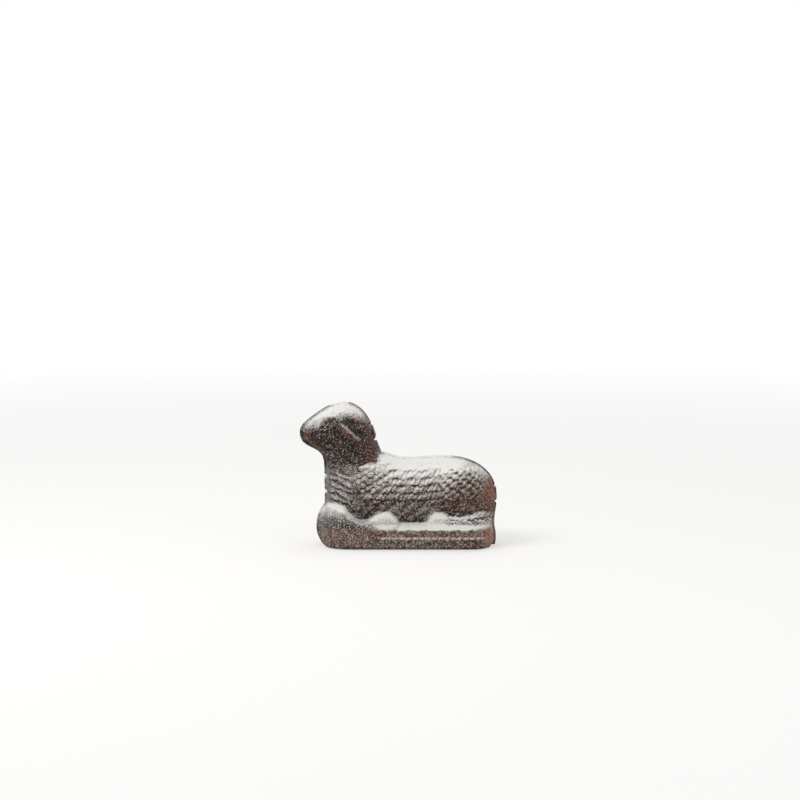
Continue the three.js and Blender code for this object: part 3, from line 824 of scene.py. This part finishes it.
def iron_wear_and_painted_light(points, relief, partings):
    """Seasoning worn to brown on heights and on the base, with warm edge light painted at the rump, nape and
    nose, and painted shade in the partings and under the head.
    """
    x, z = side_view(points)
    places = {
        "rump": ramp(x, 76, 92) * (1 - 0.6 * window(z, 30, 50, 5)),
        "nape": window(x - 0.35 * (100 - z), -44, -22, 5) * ramp(z, 84, 100),
        "nose": 1 - ramp(x, -112, -104),
        "base": 1 - ramp(z, 16, 20),
    }
    wear_and_painted_light = np.clip(relief / WORN_RELIEF, *WORN_RELIEF_SHARES)
    # Wear on the base, and painted warm edge light on the outline at the rump, nape and nose
    for name, place in places.items():
        wear_and_painted_light = wear_and_painted_light + WEAR_AND_EDGE_LIGHT_SHARES[name] * place
    # Painted shade darkens the partings between curls and the place under the head
    return wear_and_painted_light - PARTING_SHADE_SHARE * partings - HEAD_SHADE_SHARE * under_the_head(x, z)


# Castings

def free_skin(points, sizes):
    """0 on the parting rim and on the floor's edge, which stay as cast, and 1 on the rest."""
    depth = np.abs(points[:, 1] - PARTING_Y)
    off_rim = ramp(depth, sizes.rim_depth + 0.6 * MM, sizes.rim_depth + 3 * MM)
    return off_rim * ramp(points[:, 2], 2.5 * MM, 5 * MM)


def beside_hardware(points, outside):
    """1 round the lugs, the closed bails and the feet, where the skin stays as cast."""
    x, depth, height = points[:, 0], np.abs(points[:, 1] - PARTING_Y), points[:, 2]
    far_side = points[:, 1] > PARTING_Y
    near_it = np.zeros(len(points), bool)
    # A closed bail reaches less far over the near half than its lug does over the far half
    reach = np.where(far_side, LUG_REACH, BAIL_REACH)
    for bail in BAILS:
        low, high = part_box(f"bail_{bail}")
        centre = (np.array(low) + np.array(high)) / 2
        along_it = np.abs(x - centre[0]) < LATCH_HALF_LENGTH
        near_it |= along_it & (np.abs(height - centre[2]) < LATCH_HALF_HEIGHT) & (depth < reach)
    for foot in FEET:
        round_foot = oval((x - BASE_X) / MM, height / MM, foot, (FOOT_RADIUS, FOOT_RADIUS)) < 1
        near_it |= far_side & (outside | (depth > FOOT_STEM_DEPTH)) & round_foot
    return near_it.astype(float)


def cast_half(node_name, piece_name, body):
    """One casting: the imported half's shape, smoothed, with fleece and face modelled on it."""
    sizes = bpy.context.scene.mould_sizes
    piece = copy_of(node_name, piece_name)
    applied(piece, "REMESH", mode="VOXEL", voxel_size=sizes.voxel, adaptivity=0)
    edges = edges_of(piece)
    points = points_of(piece)
    free = free_skin(points, sizes)
    hardware = beside_hardware(points, faces_out(points, smoothed(normals_of(piece), edges, rounds=4)))
    off_rim, mask = smoothed(np.stack([free, free * (1 - hardware)], axis=1), edges, rounds=3).T
    points = smoothed(points, edges, rounds=1, share=0.5)
    points = evened(points, edges, rounds=5)
    points = evened(points, edges, rounds=22, mask=mask)
    set_points(piece, points)
    coarse = smoothed(normals_of(piece), edges, rounds=8)
    coarse /= np.linalg.norm(coarse, axis=1)[:, None]
    outside = faces_out(points, coarse)
    rise, partings, crests = fleece(points, sizes)
    relief = (rise * sizes.curl_rise + carving(points) * MM) * mask
    set_points(piece, points + coarse * (relief * np.where(outside, 1.0, -1.0))[:, None])
    cover = dust_cover(points, coarse, normals_of(piece), outside, partings, crests, sizes)
    set_attribute(piece, "dust", cover)
    # Worn seasoning, with painted edge light and painted shade
    set_attribute(piece, "iron_wear_and_painted_light", iron_wear_and_painted_light(points, relief, partings * mask) * off_rim)
    bpy.ops.object.shade_smooth()
    give_finish(piece, "seasoned_cast_iron_dusted")
    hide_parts(node_name)
    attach(piece, body)


# Studio

def white_for_camera(tree):
    """1 for camera, glossy and transmission rays, which see a plain white background."""
    path = node(tree, "ShaderNodeLightPath")
    seen = combined(tree, "MAXIMUM", path.outputs["Is Camera Ray"], path.outputs["Is Glossy Ray"])
    return combined(tree, "MAXIMUM", seen, path.outputs["Is Transmission Ray"])


def studio_floor():
    """A matt floor that keeps its shadow near the mould and runs out to the white background."""
    deselect_all()
    bpy.ops.mesh.primitive_plane_add(size=FLOOR_SIZE, location=(0, 0, 0))
    floor = bpy.context.object
    floor.name = "studio_floor"
    material = new_material("matt_floor_paint")
    tree = material.node_tree
    paint = node(tree, "ShaderNodeBsdfPrincipled", inputs={
        "Base Color": linear(bpy.context.scene.mould_colours.floor), "Roughness": 0.9})
    white = node(tree, "ShaderNodeEmission", inputs={"Strength": 1.0})
    place = node(tree, "ShaderNodeTexCoord").outputs["Object"]
    away = node(tree, "ShaderNodeVectorMath", {"operation": "LENGTH"}, links={0: place}).outputs["Value"]
    plain = mapped(tree, away, FLOOR_SHADOW_REACH, FLOOR_PLAIN_FROM, to_low=0.5)
    share = combined(tree, "MULTIPLY", plain, white_for_camera(tree))
    shader = node(tree, "ShaderNodeMixShader", links={0: share, 1: paint.outputs[0], 2: white.outputs[0]})
    node(tree, "ShaderNodeOutputMaterial", links={"Surface": shader.outputs[0]})
    floor.data.materials.append(material)


def studio_world():
    """Soft white light from all sides, and plain white behind the mould."""
    world = bpy.data.worlds.new("studio_world")
    bpy.context.scene.world = world
    world.use_nodes = True
    tree = world.node_tree
    tree.nodes.clear()
    soft, plain = [
        node(tree, "ShaderNodeBackground", inputs={"Color": (1, 1, 1, 1), "Strength": strength}).outputs[0]
        for strength in (WORLD_STRENGTH, 1.0)]
    mix = node(tree, "ShaderNodeMixShader", links={0: white_for_camera(tree), 1: soft, 2: plain})
    node(tree, "ShaderNodeOutputWorld", links={"Surface": mix.outputs[0]})


def lamp(name, place, watts, width):
    """A square lamp aimed at the middle of the mould."""
    data = bpy.data.lights.new(name, "AREA")
    data.energy = watts
    data.size = width
    lamp_object = bpy.data.objects.new(name, data)
    lamp_object.location = place
    aim = Vector((0, 0, HEIGHT / 2)) - Vector(place)
    lamp_object.rotation_euler = aim.to_track_quat("-Z", "Y").to_euler()
    bpy.context.scene.collection.objects.link(lamp_object)


def camera():
    """A 100 mm lens 2.4 m away, tipped down by 6 degrees, as the photograph was taken."""
    data = bpy.data.cameras.new("photo_camera")
    data.lens = CAMERA_LENS
    data.sensor_width = CAMERA_SENSOR
    data.clip_end = CAMERA_SIGHT
    view = bpy.data.objects.new("photo_camera", data)
    view.location = (BASE_X + CAMERA_ASIDE, PARTING_Y - CAMERA_AWAY, CAMERA_UP)
    view.rotation_euler = (math.radians(90) - CAMERA_TILT, 0, 0)
    bpy.context.scene.collection.objects.link(view)
    bpy.context.scene.camera = view


# Operators and panel

class MOULD_OT_stage(bpy.types.Operator):
    """Sets the floor, the soft lamps and the camera"""
    bl_idname = "mould.stage"
    bl_label = "Stage"

    def execute(self, context):
        studio_floor()
        studio_world()
        for settings in LAMPS:
            lamp(*settings)
        camera()
        context.scene.view_settings.view_transform = "Standard"
        return {"FINISHED"}


class MOULD_OT_finishes(bpy.types.Operator):
    """Makes the finishes: seasoned cast iron, drawn wire and turned dowel steel"""
    bl_idname = "mould.finishes"
    bl_label = "Make finishes"

    def execute(self, context):
        colours = context.scene.mould_colours
        seasoned_cast_iron()
        drawn_steel("dulled_steel_wire", colours.wire, roughness=0.36)
        drawn_steel("turned_dowel_steel", colours.dowel, roughness=0.3)
        return {"FINISHED"}


class MOULD_OT_near_half(bpy.types.Operator):
    """Makes the near casting"""
    bl_idname = "mould.near_half"
    bl_label = "Near half"

    def execute(self, context):
        cast_half("near_half", "near_casting_skin", "near_casting")
        return {"FINISHED"}


class MOULD_OT_far_half(bpy.types.Operator):
    """Makes the far casting"""
    bl_idname = "mould.far_half"
    bl_label = "Far half"

    def execute(self, context):
        cast_half("far_half", "far_casting_skin", "far_casting")
        return {"FINISHED"}


class MOULD_OT_bails(bpy.types.Operator):
    """Makes the three wire bails round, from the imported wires"""
    bl_idname = "mould.bails"
    bl_label = "Wire bails"

    def execute(self, context):
        for place in BAILS:
            piece = copy_of(f"bail_{place}", f"wire_bail_{place}")
            applied(piece, "SUBSURF", levels=2, render_levels=2)
            bpy.ops.object.shade_smooth()
            give_finish(piece, "dulled_steel_wire")
            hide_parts(f"bail_{place}")
            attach(piece, f"{place}_latch")
        return {"FINISHED"}


class MOULD_OT_dowels(bpy.types.Operator):
    """Makes the four locating dowels, rounded over at their ends"""
    bl_idname = "mould.dowels"
    bl_label = "Locating dowels"

    def execute(self, context):
        for place in DOWELS:
            piece = copy_of(f"dowel_{place}", f"turned_dowel_{place}")
            applied(piece, "BEVEL", width=0.2 * MM, segments=2, limit_method="ANGLE")
            bpy.ops.object.shade_smooth_by_angle(angle=math.radians(35))
            give_finish(piece, "turned_dowel_steel")
            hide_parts(f"dowel_{place}")
            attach(piece, "far_casting")
        return {"FINISHED"}


class MOULD_PT_panel(bpy.types.Panel):
    """Lists the mould's operators in the sidebar"""
    bl_idname = "MOULD_PT_panel"
    bl_label = "Lamb cake mould"
    bl_space_type = "VIEW_3D"
    bl_region_type = "UI"
    bl_category = "Lamb mould"

    def draw(self, context):
        for operator in OPERATORS:
            self.layout.operator(operator.bl_idname)


OPERATORS = (MOULD_OT_stage, MOULD_OT_finishes, MOULD_OT_near_half, MOULD_OT_far_half, MOULD_OT_bails,
             MOULD_OT_dowels)
CLASSES = (CastingSizes, FinishColours) + OPERATORS + (MOULD_PT_panel,)


def register():
    for cls in CLASSES:
        bpy.utils.register_class(cls)
    bpy.types.Scene.mould_sizes = bpy.props.PointerProperty(type=CastingSizes)
    bpy.types.Scene.mould_colours = bpy.props.PointerProperty(type=FinishColours)


def unregister():
    del bpy.types.Scene.mould_colours
    del bpy.types.Scene.mould_sizes
    for cls in reversed(CLASSES):
        bpy.utils.unregister_class(cls)


def main():
    register()
    bpy.ops.mould.stage()
    bpy.ops.mould.finishes()
    bpy.ops.mould.near_half()
    bpy.ops.mould.far_half()
    bpy.ops.mould.bails()
    bpy.ops.mould.dowels()


if __name__ == "__main__":
    main()
